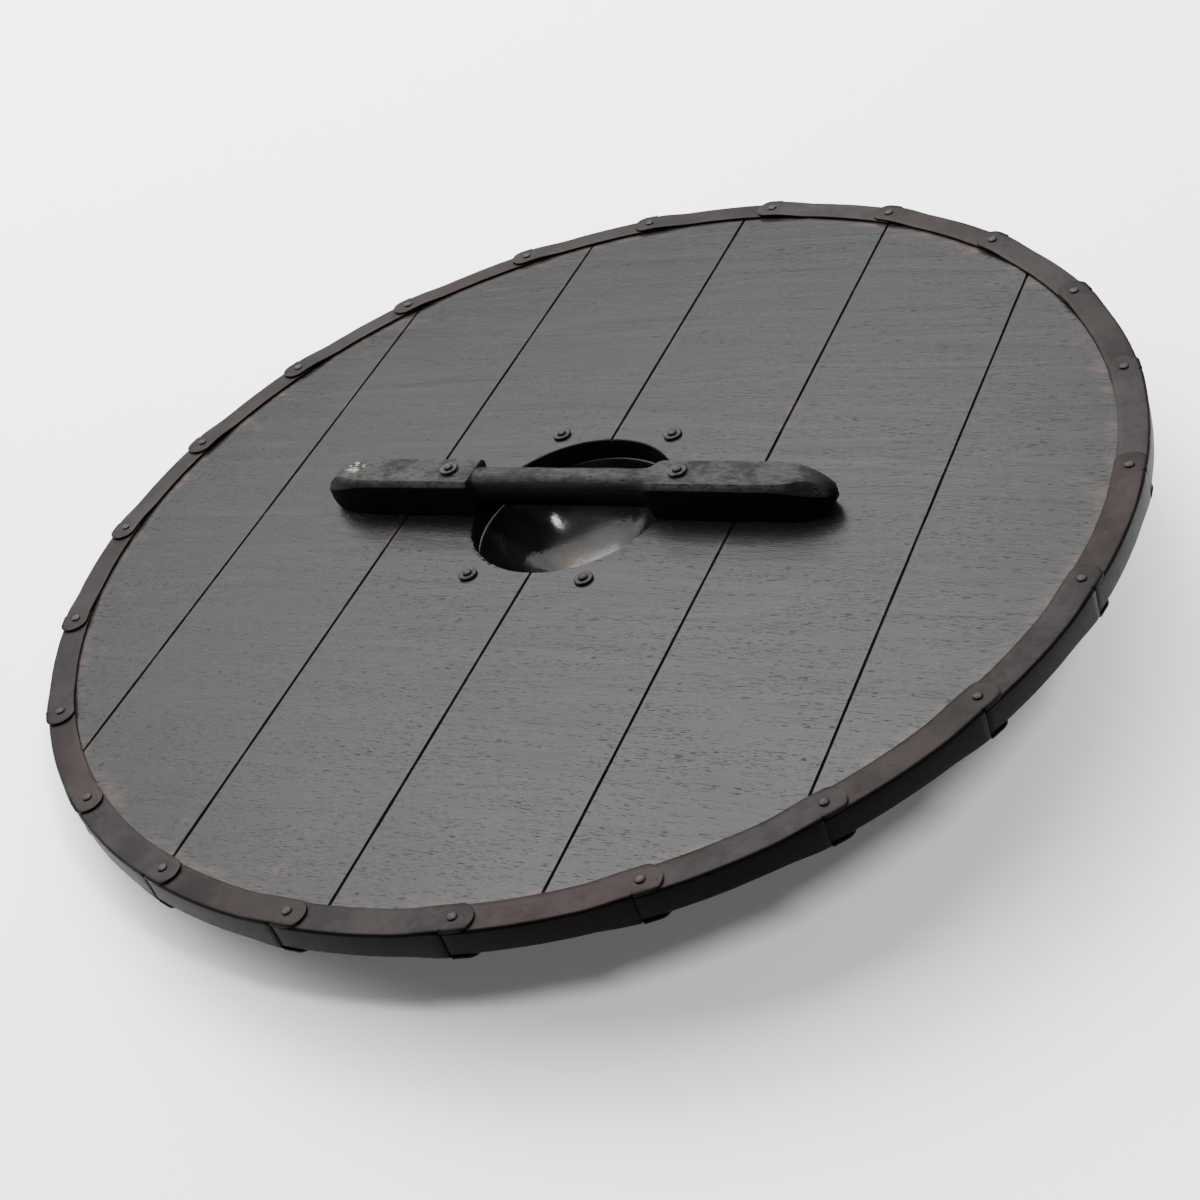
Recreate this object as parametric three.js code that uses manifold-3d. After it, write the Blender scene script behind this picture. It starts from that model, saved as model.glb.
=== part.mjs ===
// A round shield lying face down, so that its back, with the hand grip, is uppermost.
// One plywood board carries a rim of 22 folded steel strips, a domed steel boss over the
// central hand hole and a carved wooden grip across that hole. The shield rests on the
// boss and on the low edge of its rim, so it leans a little.
// Millimetres, +Z up. The pieces are built in the shield's own plane: the board lies in XY
// with its middle at z = 0, the grip runs along X and the back faces +Z.

import * as THREE from 'three';
import { mergeVertices } from 'three/addons/utils/BufferGeometryUtils.js';
import Module from 'manifold-3d';

// Board
const BOARD_RADIUS = 303;
const BOARD_THICKNESS = 12;
const BOARD_SIDES = 66;
const HOLE_RADIUS = 57.5;
const HOLE_SIDES = 44;
const GROOVE_SPACING = 101.6;
const GROOVE_COUNT = 5;
const GROOVE_TURN = 1.7;
const GROOVE_WIDTH = 1.6;
const GROOVE_DEPTH = 1.1;

// Clearance kept wherever two pieces touch
const GAP = 0.3;

// Rim strips: a channel of thin sheet, folded over the edge of the board
const STRIP_COUNT = 22;
const STRIP_SHEET = 1.2;
const STRIP_RADIUS = 305;
const STRIP_INNER_EDGE = 288.4;
const STRIP_FIRST_ANGLE = 137.4;
const STRIP_STEPS = 4;
const RIM_RIVET_CIRCLE = 296.7;
const WALL_END = 5;
const STEP_UP_LENGTH = 4.5;
const TAB_REACH = 10;
const TAB_STRAIGHT = 3.5;
const TAB_BULGE = 0.8;

// Rim rivets
const RIM_SHANK_RADIUS = 1.5;
const RIM_HEAD_RADIUS = 2.6;
const RIM_HEAD_HEIGHT = 0.85;
const RIM_RIVET_SIDES = 6;
const PUNCHED_SIDES = 4;
const PUNCHED_RADIUS = 2.35;

// Boss: a shallow dome of steel with a flat flange, under the front of the board
const BOSS_SHEET = 2;
const BOSS_DOME_RADIUS = 59;
const BOSS_DOME_DEPTH = 42;
const BOSS_FLANGE_RADIUS = 83;
const BOSS_BEND = 3;
const BOSS_SIDES = 32;
const BOSS_ARC_STEPS = 6;
const BOSS_FLAT_DEPTH = 0.9;

// Rivets and washers of the boss and the grip
const BOSS_RIVET_CIRCLE = 71;
const BOSS_RIVET_ANGLES = [60, 120, 240, 300];
const GRIP_RIVET_ANGLES = [0, 180];
const SHANK_RADIUS = 2;
const PEEN_RADIUS = 2.7;
const PEEN_HEIGHT = 1.3;
const FRONT_HEAD_RADIUS = 4.6;
const FRONT_HEAD_HEIGHT = 2.4;
const RIVET_SIDES = 8;
const WASHER_RADIUS = 5.3;
const WASHER_THICKNESS = 1.5;
const WASHER_SIDES = 12;

// Grip
const GRIP_HEIGHT = 22.2;
const GRIP_ROUND_RADIUS = 10.5;
const GRIP_ROUND_HALF_LENGTH = 54;
const GRIP_ROUND_SIDES = 18;
const GRIP_ROUND_DROP = 0.3;

// Levels that several pieces share
const HALF_BOARD = BOARD_THICKNESS / 2;
const STRIP_FACE = HALF_BOARD + GAP + STRIP_SHEET;
const TAB_FACE = STRIP_FACE + GAP + STRIP_SHEET;
const GRIP_BASE = HALF_BOARD + GAP;
const GRIP_TOP = GRIP_BASE + GRIP_HEIGHT;
const FLANGE_TOP = -(HALF_BOARD + GAP);
const FLANGE_FACE = FLANGE_TOP - BOSS_SHEET;
const DOME_BALL = (BOSS_DOME_RADIUS ** 2 + BOSS_DOME_DEPTH ** 2) / (2 * BOSS_DOME_DEPTH);
const DOME_CENTRE = FLANGE_FACE - BOSS_DOME_DEPTH + DOME_BALL;
const STRIP_PITCH = 360 / STRIP_COUNT;

const wasm = await Module();
wasm.setup();

const degrees = (length, radius) => THREE.MathUtils.radToDeg(length / radius);
const radians = THREE.MathUtils.degToRad;

// A closed three.js geometry as a solid that can be joined and cut
function toSolid(geometry) {
  const bare = geometry.index ? geometry.toNonIndexed() : geometry.clone();
  bare.deleteAttribute('normal');
  bare.deleteAttribute('uv');
  const merged = mergeVertices(bare, 1e-4);
  const mesh = new wasm.Mesh({
    numProp: 3,
    vertProperties: new Float32Array(merged.attributes.position.array),
    triVerts: new Uint32Array(merged.index.array),
  });
  return new wasm.Manifold(mesh);
}

function toGeometry(solid) {
  const mesh = solid.getMesh();
  const geometry = new THREE.BufferGeometry();
  geometry.setAttribute('position', new THREE.BufferAttribute(mesh.vertProperties, 3));
  geometry.setIndex(new THREE.BufferAttribute(mesh.triVerts, 1));
  return geometry;
}

// A disc or ring standing on z = 0, from its outline radius and an optional hole
function disc(radius, height, sides, holeRadius = 0, holeSides = sides) {
  const shape = new THREE.Shape(circlePoints(radius, sides));
  if (holeRadius > 0) {
    shape.holes.push(new THREE.Path(circlePoints(holeRadius, holeSides)));
  }
  return new THREE.ExtrudeGeometry(shape, { depth: height, bevelEnabled: false });
}

function circlePoints(radius, sides) {
  const points = [];
  for (let i = 0; i < sides; i += 1) {
    const angle = (2 * Math.PI * i) / sides;
    points.push(new THREE.Vector2(radius * Math.cos(angle), radius * Math.sin(angle)));
  }
  return points;
}

// A lathe turned about Z from [radius, height] pairs that start and end on the axis
function turned(profile, sides) {
  const points = profile.map(([radius, height]) => new THREE.Vector2(radius, height));
  const geometry = new THREE.LatheGeometry(points, sides);
  geometry.rotateX(Math.PI / 2);
  return geometry;
}

// A bar with a section given point by point at each station along its length
function swept(stations, sectionAt) {
  const first = sectionAt(stations[0]);
  const shape = new THREE.Shape(first.map((point, i) => unitPoint(i, first.length)));
  const steps = stations.length - 1;
  const geometry = new THREE.ExtrudeGeometry(shape, { depth: steps, steps, bevelEnabled: false });
  const position = geometry.attributes.position;
  const sections = stations.map(sectionAt);
  for (let i = 0; i < position.count; i += 1) {
    const corner = cornerIndex(position.getX(i), position.getY(i), first.length);
    const place = sections[Math.round(position.getZ(i))][corner];
    position.setXYZ(i, place.x, place.y, place.z);
  }
  return geometry;
}

function unitPoint(index, count) {
  const angle = (2 * Math.PI * index) / count;
  return new THREE.Vector2(Math.cos(angle), Math.sin(angle));
}

function cornerIndex(x, y, count) {
  const turn = Math.atan2(y, x) / (2 * Math.PI);
  return Math.round((turn + 1) * count) % count;
}

// A point on the rim, from its angle, its distance from the centre and its height
function rimPoint(angle, radius, z) {
  const a = radians(angle);
  return new THREE.Vector3(radius * Math.cos(a), radius * Math.sin(a), z);
}

// The straight inner edge of a strip that runs from one joint to the next
function innerEdgeRadius(angle) {
  const middle = STRIP_PITCH / 2;
  const folded = ((angle % STRIP_PITCH) + STRIP_PITCH) % STRIP_PITCH;
  return (STRIP_INNER_EDGE * Math.cos(radians(middle))) / Math.cos(radians(folded - middle));
}

// A straight hole from one height to another: round for the thick shanks
function shankHole(place, bottom, top) {
  const hole = disc(SHANK_RADIUS + GAP, top - bottom, RIVET_SIDES);
  hole.translate(place.x, place.y, bottom);
  return toSolid(hole);
}

// The rim's small holes are punched square
function punchedHole(place) {
  const hole = disc(PUNCHED_RADIUS, 2 * TAB_FACE + 2, PUNCHED_SIDES);
  hole.translate(place.x, place.y, -TAB_FACE - 1);
  return toSolid(hole);
}

// Where the shanks go through, in the plane of the board
const rimRivetPlaces = [];
for (let i = 0; i < STRIP_COUNT; i += 1) {
  const angle = STRIP_FIRST_ANGLE + i * STRIP_PITCH;
  rimRivetPlaces.push(rimPoint(angle, RIM_RIVET_CIRCLE, 0));
}
const bossRivetPlaces = BOSS_RIVET_ANGLES.map((angle) => rimPoint(angle, BOSS_RIVET_CIRCLE, 0));
const gripRivetPlaces = GRIP_RIVET_ANGLES.map((angle) => rimPoint(angle, BOSS_RIVET_CIRCLE, 0));

// Board: one disc with the hand hole, the shank holes and the scored lines on both faces
function boardGeometry() {
  const sheet = disc(BOARD_RADIUS, BOARD_THICKNESS, BOARD_SIDES, HOLE_RADIUS, HOLE_SIDES);
  sheet.translate(0, 0, -HALF_BOARD);
  sheet.rotateZ(radians(STRIP_FIRST_ANGLE));
  let solid = toSolid(sheet);
  for (const place of rimRivetPlaces) {
    solid = solid.subtract(punchedHole(place));
  }
  for (const place of [...bossRivetPlaces, ...gripRivetPlaces]) {
    solid = solid.subtract(shankHole(place, -TAB_FACE, TAB_FACE));
  }
  for (let i = 0; i < GROOVE_COUNT; i += 1) {
    const offset = (i - (GROOVE_COUNT - 1) / 2) * GROOVE_SPACING;
    for (const side of [1, -1]) {
      const groove = grooveCutter(side);
      groove.translate(offset, 0, 0);
      groove.rotateZ(radians(GROOVE_TURN));
      solid = solid.subtract(toSolid(groove));
    }
  }
  return toGeometry(solid);
}

// A long wedge whose point lies in the board
function grooveCutter(side) {
  const above = 1;
  const spread = (GROOVE_WIDTH / 2) * ((GROOVE_DEPTH + above) / GROOVE_DEPTH);
  const wedge = new THREE.Shape([
    new THREE.Vector2(0, -GROOVE_DEPTH),
    new THREE.Vector2(spread, above),
    new THREE.Vector2(-spread, above),
  ]);
  const length = 2 * BOARD_RADIUS + 10;
  const cutter = new THREE.ExtrudeGeometry(wedge, { depth: length, bevelEnabled: false });
  cutter.translate(0, 0, -length / 2);
  cutter.rotateX(Math.PI / 2);
  cutter.translate(0, 0, HALF_BOARD);
  if (side < 0) {
    cutter.rotateY(Math.PI);
  }
  return cutter;
}

// Strip: a channel that steps up at its leading end, where two rounded tabs lap over the
// next strip. Angles are measured from the strip's own trailing rivet.
function stripGeometry() {
  const start = -degrees(WALL_END - GAP, STRIP_RADIUS);
  const lead = STRIP_PITCH - degrees(WALL_END, STRIP_RADIUS);
  const stepStart = lead - degrees(STEP_UP_LENGTH, STRIP_RADIUS);
  const channelStations = [];
  for (let i = 0; i <= STRIP_STEPS; i += 1) {
    const angle = start + ((stepStart - start) * i) / STRIP_STEPS;
    channelStations.push({ angle, face: STRIP_FACE, radius: STRIP_RADIUS });
  }
  channelStations.push({ angle: lead, face: TAB_FACE, radius: STRIP_RADIUS + TAB_BULGE });
  let solid = toSolid(swept(channelStations, channelSection));
  for (const side of [1, -1]) {
    solid = solid.add(toSolid(tabGeometry(side, lead)));
  }
  for (const angle of [0, STRIP_PITCH]) {
    solid = solid.subtract(punchedHole(rimPoint(angle, RIM_RIVET_CIRCLE, 0)));
  }
  return toGeometry(solid);
}

// The open channel: back flange, wall and front flange in one folded sheet
function channelSection({ angle, face, radius }) {
  const edge = innerEdgeRadius(angle);
  const inside = face - STRIP_SHEET;
  const wall = radius - STRIP_SHEET;
  return [
    rimPoint(angle, edge, face),
    rimPoint(angle, radius, face),
    rimPoint(angle, radius, -face),
    rimPoint(angle, edge, -face),
    rimPoint(angle, edge, -inside),
    rimPoint(angle, wall, -inside),
    rimPoint(angle, wall, inside),
    rimPoint(angle, edge, inside),
  ];
}

// A flat tab with a rounded end; it starts inside the stepped-up flange
function tabGeometry(side, lead) {
  const outer = STRIP_RADIUS + TAB_BULGE;
  const middle = (outer + STRIP_INNER_EDGE) / 2;
  const half = (outer - STRIP_INNER_EDGE) / 2;
  const rivet = STRIP_PITCH;
  const reach = (length) => rivet + degrees(length, RIM_RIVET_CIRCLE);
  const round = TAB_REACH - TAB_STRAIGHT;
  const stations = [
    { angle: lead - 0.02, half },
    { angle: reach(TAB_STRAIGHT), half },
    { angle: reach(TAB_STRAIGHT + round * 0.7), half: half * 0.74 },
    { angle: reach(TAB_REACH), half: half * 0.26 },
  ];
  const low = side * (TAB_FACE - STRIP_SHEET);
  const high = side * TAB_FACE;
  return swept(stations, (station) => [
    rimPoint(station.angle, middle - station.half, Math.min(low, high)),
    rimPoint(station.angle, middle - station.half, Math.max(low, high)),
    rimPoint(station.angle, middle + station.half, Math.max(low, high)),
    rimPoint(station.angle, middle + station.half, Math.min(low, high)),
  ]);
}

// Rim rivet: a low dome at each end of one shank
function rimRivetGeometry() {
  const seat = TAB_FACE + GAP;
  const top = seat + RIM_HEAD_HEIGHT;
  return turned([
    [0, -top],
    [RIM_HEAD_RADIUS, -seat],
    [RIM_SHANK_RADIUS, -seat],
    [RIM_SHANK_RADIUS, seat],
    [RIM_HEAD_RADIUS, seat],
    [RIM_HEAD_RADIUS * 0.68, top - RIM_HEAD_HEIGHT * 0.3],
    [0, top],
  ], RIM_RIVET_SIDES);
}

// Boss: the flange and the hollow dome, with a small worn flat where it rests
function bossGeometry(lean) {
  const inner = DOME_BALL - BOSS_SHEET;
  const outerReach = Math.asin(BOSS_DOME_RADIUS / DOME_BALL);
  const innerReach = Math.acos((DOME_CENTRE - FLANGE_TOP) / inner);
  const profile = [];
  for (let i = 0; i <= BOSS_ARC_STEPS; i += 1) {
    const angle = outerReach * (i / BOSS_ARC_STEPS) * 0.97;
    profile.push([DOME_BALL * Math.sin(angle), DOME_CENTRE - DOME_BALL * Math.cos(angle)]);
  }
  profile.push([BOSS_DOME_RADIUS + BOSS_BEND, FLANGE_FACE]);
  profile.push([BOSS_FLANGE_RADIUS, FLANGE_FACE]);
  profile.push([BOSS_FLANGE_RADIUS, FLANGE_TOP]);
  profile.push([inner * Math.sin(innerReach) + BOSS_BEND, FLANGE_TOP]);
  for (let i = BOSS_ARC_STEPS; i >= 0; i -= 1) {
    const angle = innerReach * (i / BOSS_ARC_STEPS) * 0.97;
    profile.push([inner * Math.sin(angle), DOME_CENTRE - inner * Math.cos(angle)]);
  }
  let solid = toSolid(turned(profile, BOSS_SIDES));
  for (const place of [...bossRivetPlaces, ...gripRivetPlaces]) {
    solid = solid.subtract(shankHole(place, FLANGE_FACE - 1, FLANGE_TOP + 1));
  }
  const size = 80;
  const below = new THREE.BoxGeometry(size, size, size);
  below.translate(0, 0, -(DOME_BALL - BOSS_FLAT_DEPTH) - size / 2);
  below.rotateY(lean);
  below.rotateZ(radians(LEAN_TURN));
  below.translate(0, 0, DOME_CENTRE);
  solid = solid.subtract(toSolid(below));
  return toGeometry(solid);
}

// Grip: two blocks with flat tops and spoon-shaped ends, and a round middle between them
function gripGeometry() {
  const round = new THREE.CylinderGeometry(
    GRIP_ROUND_RADIUS, GRIP_ROUND_RADIUS, 2 * GRIP_ROUND_HALF_LENGTH + 2, GRIP_ROUND_SIDES);
  round.rotateZ(Math.PI / 2);
  round.translate(0, 0, GRIP_TOP - GRIP_ROUND_DROP - GRIP_ROUND_RADIUS);
  let solid = toSolid(round);
  const block = swept(GRIP_STATIONS, gripSection);
  const other = block.clone();
  other.rotateZ(Math.PI);
  solid = solid.add(toSolid(block)).add(toSolid(other));
  for (const place of gripRivetPlaces) {
    solid = solid.subtract(shankHole(place, GRIP_BASE - 1, GRIP_TOP + 1));
  }
  return toGeometry(solid);
}

// Along each block, from the round middle to the tip: distance from the centre, half width,
// half width of the flat top, and the heights of the top, of the side's upper edge and of
// the underside above the board
const GRIP_STATIONS = [
  { x: GRIP_ROUND_HALF_LENGTH, half: 12.9, flat: 10.1, top: GRIP_HEIGHT, side: 19.4, under: 0 },
  { x: 127, half: 12.9, flat: 10.1, top: GRIP_HEIGHT, side: 19.2, under: 0 },
  { x: 136, half: 12.5, flat: 8.6, top: GRIP_HEIGHT, side: 17.8, under: 0 },
  { x: 143, half: 11.2, flat: 5.2, top: 21.6, side: 15.8, under: 0 },
  { x: 150, half: 8.8, flat: 3.4, top: 18.4, side: 13.4, under: 0.6 },
  { x: 155, half: 5.6, flat: 2.2, top: 14.4, side: 11.8, under: 3.6 },
  { x: 157, half: 3, flat: 1.2, top: 12, side: 10.6, under: 7 },
];

function gripSection({ x, half, flat, top, side, under }) {
  const corner = (y, z) => new THREE.Vector3(x, y, GRIP_BASE + z);
  return [
    corner(half, under),
    corner(half, side),
    corner(flat, top),
    corner(-flat, top),
    corner(-half, side),
    corner(-half, under),
  ];
}

// A rivet with a domed head on the front and a hammered end over a washer on the back
function longRivetGeometry(washerBase) {
  const seat = washerBase + GAP + WASHER_THICKNESS + GAP;
  const frontSeat = FLANGE_FACE - GAP;
  const frontTop = frontSeat - FRONT_HEAD_HEIGHT;
  return turned([
    [0, frontTop],
    [FRONT_HEAD_RADIUS * 0.7, frontTop + FRONT_HEAD_HEIGHT * 0.3],
    [FRONT_HEAD_RADIUS, frontSeat],
    [SHANK_RADIUS, frontSeat],
    [SHANK_RADIUS, seat],
    [PEEN_RADIUS, seat],
    [PEEN_RADIUS * 0.66, seat + PEEN_HEIGHT * 0.75],
    [0, seat + PEEN_HEIGHT],
  ], RIVET_SIDES);
}

function washerGeometry() {
  const shape = new THREE.Shape(circlePoints(WASHER_RADIUS, WASHER_SIDES));
  shape.holes.push(new THREE.Path(circlePoints(SHANK_RADIUS + GAP, RIVET_SIDES)));
  return new THREE.ExtrudeGeometry(shape, { depth: WASHER_THICKNESS, bevelEnabled: false });
}

// Lean: the boss's flat and the tabs of the two joints either side of the low edge meet
// the ground together. The low edge is halfway between those two tabs.
const LEAN_JOINT_BEFORE = STRIP_FIRST_ANGLE + 2 * STRIP_PITCH;
const LEAN_JOINT_AFTER = LEAN_JOINT_BEFORE + STRIP_PITCH;
const CONTACT_BEFORE = LEAN_JOINT_BEFORE + degrees(TAB_STRAIGHT, RIM_RIVET_CIRCLE);
const CONTACT_AFTER = LEAN_JOINT_AFTER - degrees(WALL_END, STRIP_RADIUS);
const LOW_ANGLE = (CONTACT_BEFORE + CONTACT_AFTER) / 2;
const LEAN_TURN = LOW_ANGLE - 180;
const CONTACT_HALF_ANGLE = radians((CONTACT_AFTER - CONTACT_BEFORE) / 2);
const CONTACT_REACH = (STRIP_RADIUS + TAB_BULGE) * Math.cos(CONTACT_HALF_ANGLE);
const CONTACT_RISE = TAB_FACE + DOME_CENTRE;
const DOME_REST = DOME_BALL - BOSS_FLAT_DEPTH;
const LEAN = Math.asin(DOME_REST / Math.hypot(CONTACT_REACH, CONTACT_RISE))
  - Math.atan2(CONTACT_RISE, CONTACT_REACH);

const colours = {
  stainedWood: { color: 0x3a3836, roughness: 0.5, metalness: 0 },
  stripSteel: { color: 0x4a4541, roughness: 0.55, metalness: 0.6 },
  bossSteel: { color: 0x2c2a28, roughness: 0.35, metalness: 0.8 },
  rivetSteel: { color: 0x5c5955, roughness: 0.5, metalness: 0.8 },
  gripWood: { color: 0x45413c, roughness: 0.6, metalness: 0 },
};

// plane: the shield in its own plane. turn: swings the low edge to -X. group: lets it lean.
const plane = new THREE.Group();
const turn = new THREE.Group();
const group = new THREE.Group();
turn.rotation.z = -radians(LEAN_TURN);
turn.add(plane);
group.add(turn);

function addPiece(name, geometry, finish, x = 0, y = 0, z = 0, angle = 0) {
  const mesh = new THREE.Mesh(geometry, new THREE.MeshStandardMaterial(finish));
  mesh.name = name;
  mesh.position.set(x, y, z);
  mesh.rotation.z = radians(angle);
  plane.add(mesh);
}

const twoDigits = (number) => String(number).padStart(2, '0');

addPiece('board', boardGeometry(), colours.stainedWood);
addPiece('boss', bossGeometry(LEAN), colours.bossSteel);
addPiece('grip', gripGeometry(), colours.gripWood);

const strip = stripGeometry();
const rimRivet = rimRivetGeometry();
for (let i = 0; i < STRIP_COUNT; i += 1) {
  const angle = STRIP_FIRST_ANGLE + i * STRIP_PITCH;
  const place = rimRivetPlaces[i];
  addPiece(`rim_strip_${twoDigits(i + 1)}`, strip, colours.stripSteel, 0, 0, 0, angle);
  addPiece(`rim_rivet_${twoDigits(i + 1)}`, rimRivet, colours.rivetSteel, place.x, place.y, 0);
}

const bossRivet = longRivetGeometry(HALF_BOARD);
const gripRivet = longRivetGeometry(GRIP_TOP);
const washer = washerGeometry();
bossRivetPlaces.forEach((place, i) => {
  addPiece(`boss_rivet_${i + 1}`, bossRivet, colours.rivetSteel, place.x, place.y);
  addPiece(
    `boss_washer_${i + 1}`, washer, colours.rivetSteel, place.x, place.y, HALF_BOARD + GAP);
});
gripRivetPlaces.forEach((place, i) => {
  addPiece(`grip_rivet_${i + 1}`, gripRivet, colours.rivetSteel, place.x, place.y);
  addPiece(`grip_washer_${i + 1}`, washer, colours.rivetSteel, place.x, place.y, GRIP_TOP + GAP);
});

// Let it lean, then set the origin on the ground under the middle of its outline
group.rotation.y = -LEAN;
group.updateMatrixWorld(true);
const outline = new THREE.Box3().setFromObject(group, true);
const middle = outline.getCenter(new THREE.Vector3());
group.position.set(-middle.x, -middle.y, -outline.min.z);
group.updateMatrixWorld(true);

export default group;
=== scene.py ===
import math

import bmesh
import bpy
import numpy as np
from mathutils import Matrix, Vector, noise


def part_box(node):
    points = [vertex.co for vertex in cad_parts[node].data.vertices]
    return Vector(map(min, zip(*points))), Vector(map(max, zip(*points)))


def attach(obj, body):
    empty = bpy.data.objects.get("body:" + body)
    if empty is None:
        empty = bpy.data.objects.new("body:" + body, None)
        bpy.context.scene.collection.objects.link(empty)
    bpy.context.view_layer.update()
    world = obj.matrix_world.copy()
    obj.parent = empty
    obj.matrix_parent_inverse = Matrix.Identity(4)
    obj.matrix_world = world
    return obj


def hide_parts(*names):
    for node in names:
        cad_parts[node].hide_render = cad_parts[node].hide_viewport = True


# A round shield lying face down on its boss: a black-stained plywood board, a rim of folded
# steel strips, a domed boss and a carved grip. Everything is shaped in the shield's own
# plane, in millimetres, with the grip along X and the back facing +Z. PLANE then lays it
# down, leaning on its boss and the low edge of its rim.

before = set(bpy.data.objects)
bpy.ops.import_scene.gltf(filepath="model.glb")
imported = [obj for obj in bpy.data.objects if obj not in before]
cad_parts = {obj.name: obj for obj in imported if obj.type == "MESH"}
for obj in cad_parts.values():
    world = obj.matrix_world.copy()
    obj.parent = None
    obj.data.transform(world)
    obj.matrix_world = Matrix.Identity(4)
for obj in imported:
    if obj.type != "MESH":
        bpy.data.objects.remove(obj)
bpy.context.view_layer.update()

MM = 0.001
LEAN = math.radians(7.6916)
TURN = math.radians(1.8226)

board_low, board_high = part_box("board")
MIDDLE = (board_low + board_high) / 2
PLANE = (
    Matrix.Translation(MIDDLE)
    @ Matrix.Rotation(-LEAN, 4, "Y")
    @ Matrix.Rotation(TURN, 4, "Z")
)

HALF_BOARD = 6.0
HOLE_RADIUS = 57.5
BOARD_RADIUS = 303.0
GROOVE_SPACING = 101.6
GROOVE_TURN = math.radians(1.7)

STRIP_COUNT = 22
STRIP_PITCH = 360 / STRIP_COUNT
FIRST_RIVET = 137.4
STRIP_RADIUS = 304.9
STRIP_SHEET = 1.2
STRIP_FACE = 7.5
TAB_FACE = 8.95
TAB_RADIUS = 305.3
INNER_EDGE = 289.2
EDGE_DRIFT = 1.1
STRIP_FOLD = 1.7
STRIP_TAIL = 4.85
STRIP_LEAD = 5
RAMP_LENGTH = 24
TAB_STRAIGHT = 3.0
TAB_ROUND = 7.0
RIVET_CIRCLE = 296.7

DOME_RADIUS = 59.0
DOME_DEPTH = 42.0
DOME_SHEET = 2.0
FLANGE_FACE = -8.3
DOME_BALL = (DOME_RADIUS ** 2 + DOME_DEPTH ** 2) / (2 * DOME_DEPTH)
DOME_CENTRE = FLANGE_FACE - DOME_DEPTH + DOME_BALL
FLANGE_RADIUS = 83.0
FLANGE_TOP = -6.3
BOSS_RIVET_CIRCLE = 71.0

GRIP_BASE = 6.3
GRIP_TOP = 28.5


def wobble(x, y, z, size, seed=0.0):
    """A smooth unevenness from -1 to 1 over about size millimetres."""
    return noise.noise(Vector((x / size + seed, y / size - seed, z / size + 0.37 * seed)))


def ease(value, low, high):
    t = min(1.0, max(0.0, (value - low) / (high - low)))
    return t * t * (3 - 2 * t)


# ---------------------------------------------------------------- materials


class Amount:
    """A number that varies over a surface, written into sums like any other number."""

    def __init__(self, finish, socket):
        self.finish = finish
        self.socket = socket

    def __add__(self, other):
        return self.finish.sum("ADD", self, other)

    __radd__ = __add__

    def __mul__(self, other):
        return self.finish.sum("MULTIPLY", self, other)

    __rmul__ = __mul__

    def __sub__(self, other):
        return self.finish.sum("SUBTRACT", self, other)

    def __rsub__(self, other):
        return self.finish.sum("SUBTRACT", other, self)

    def __truediv__(self, other):
        return self.finish.sum("DIVIDE", self, other)

    def __pow__(self, other):
        return self.finish.sum("POWER", self, other)


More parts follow.
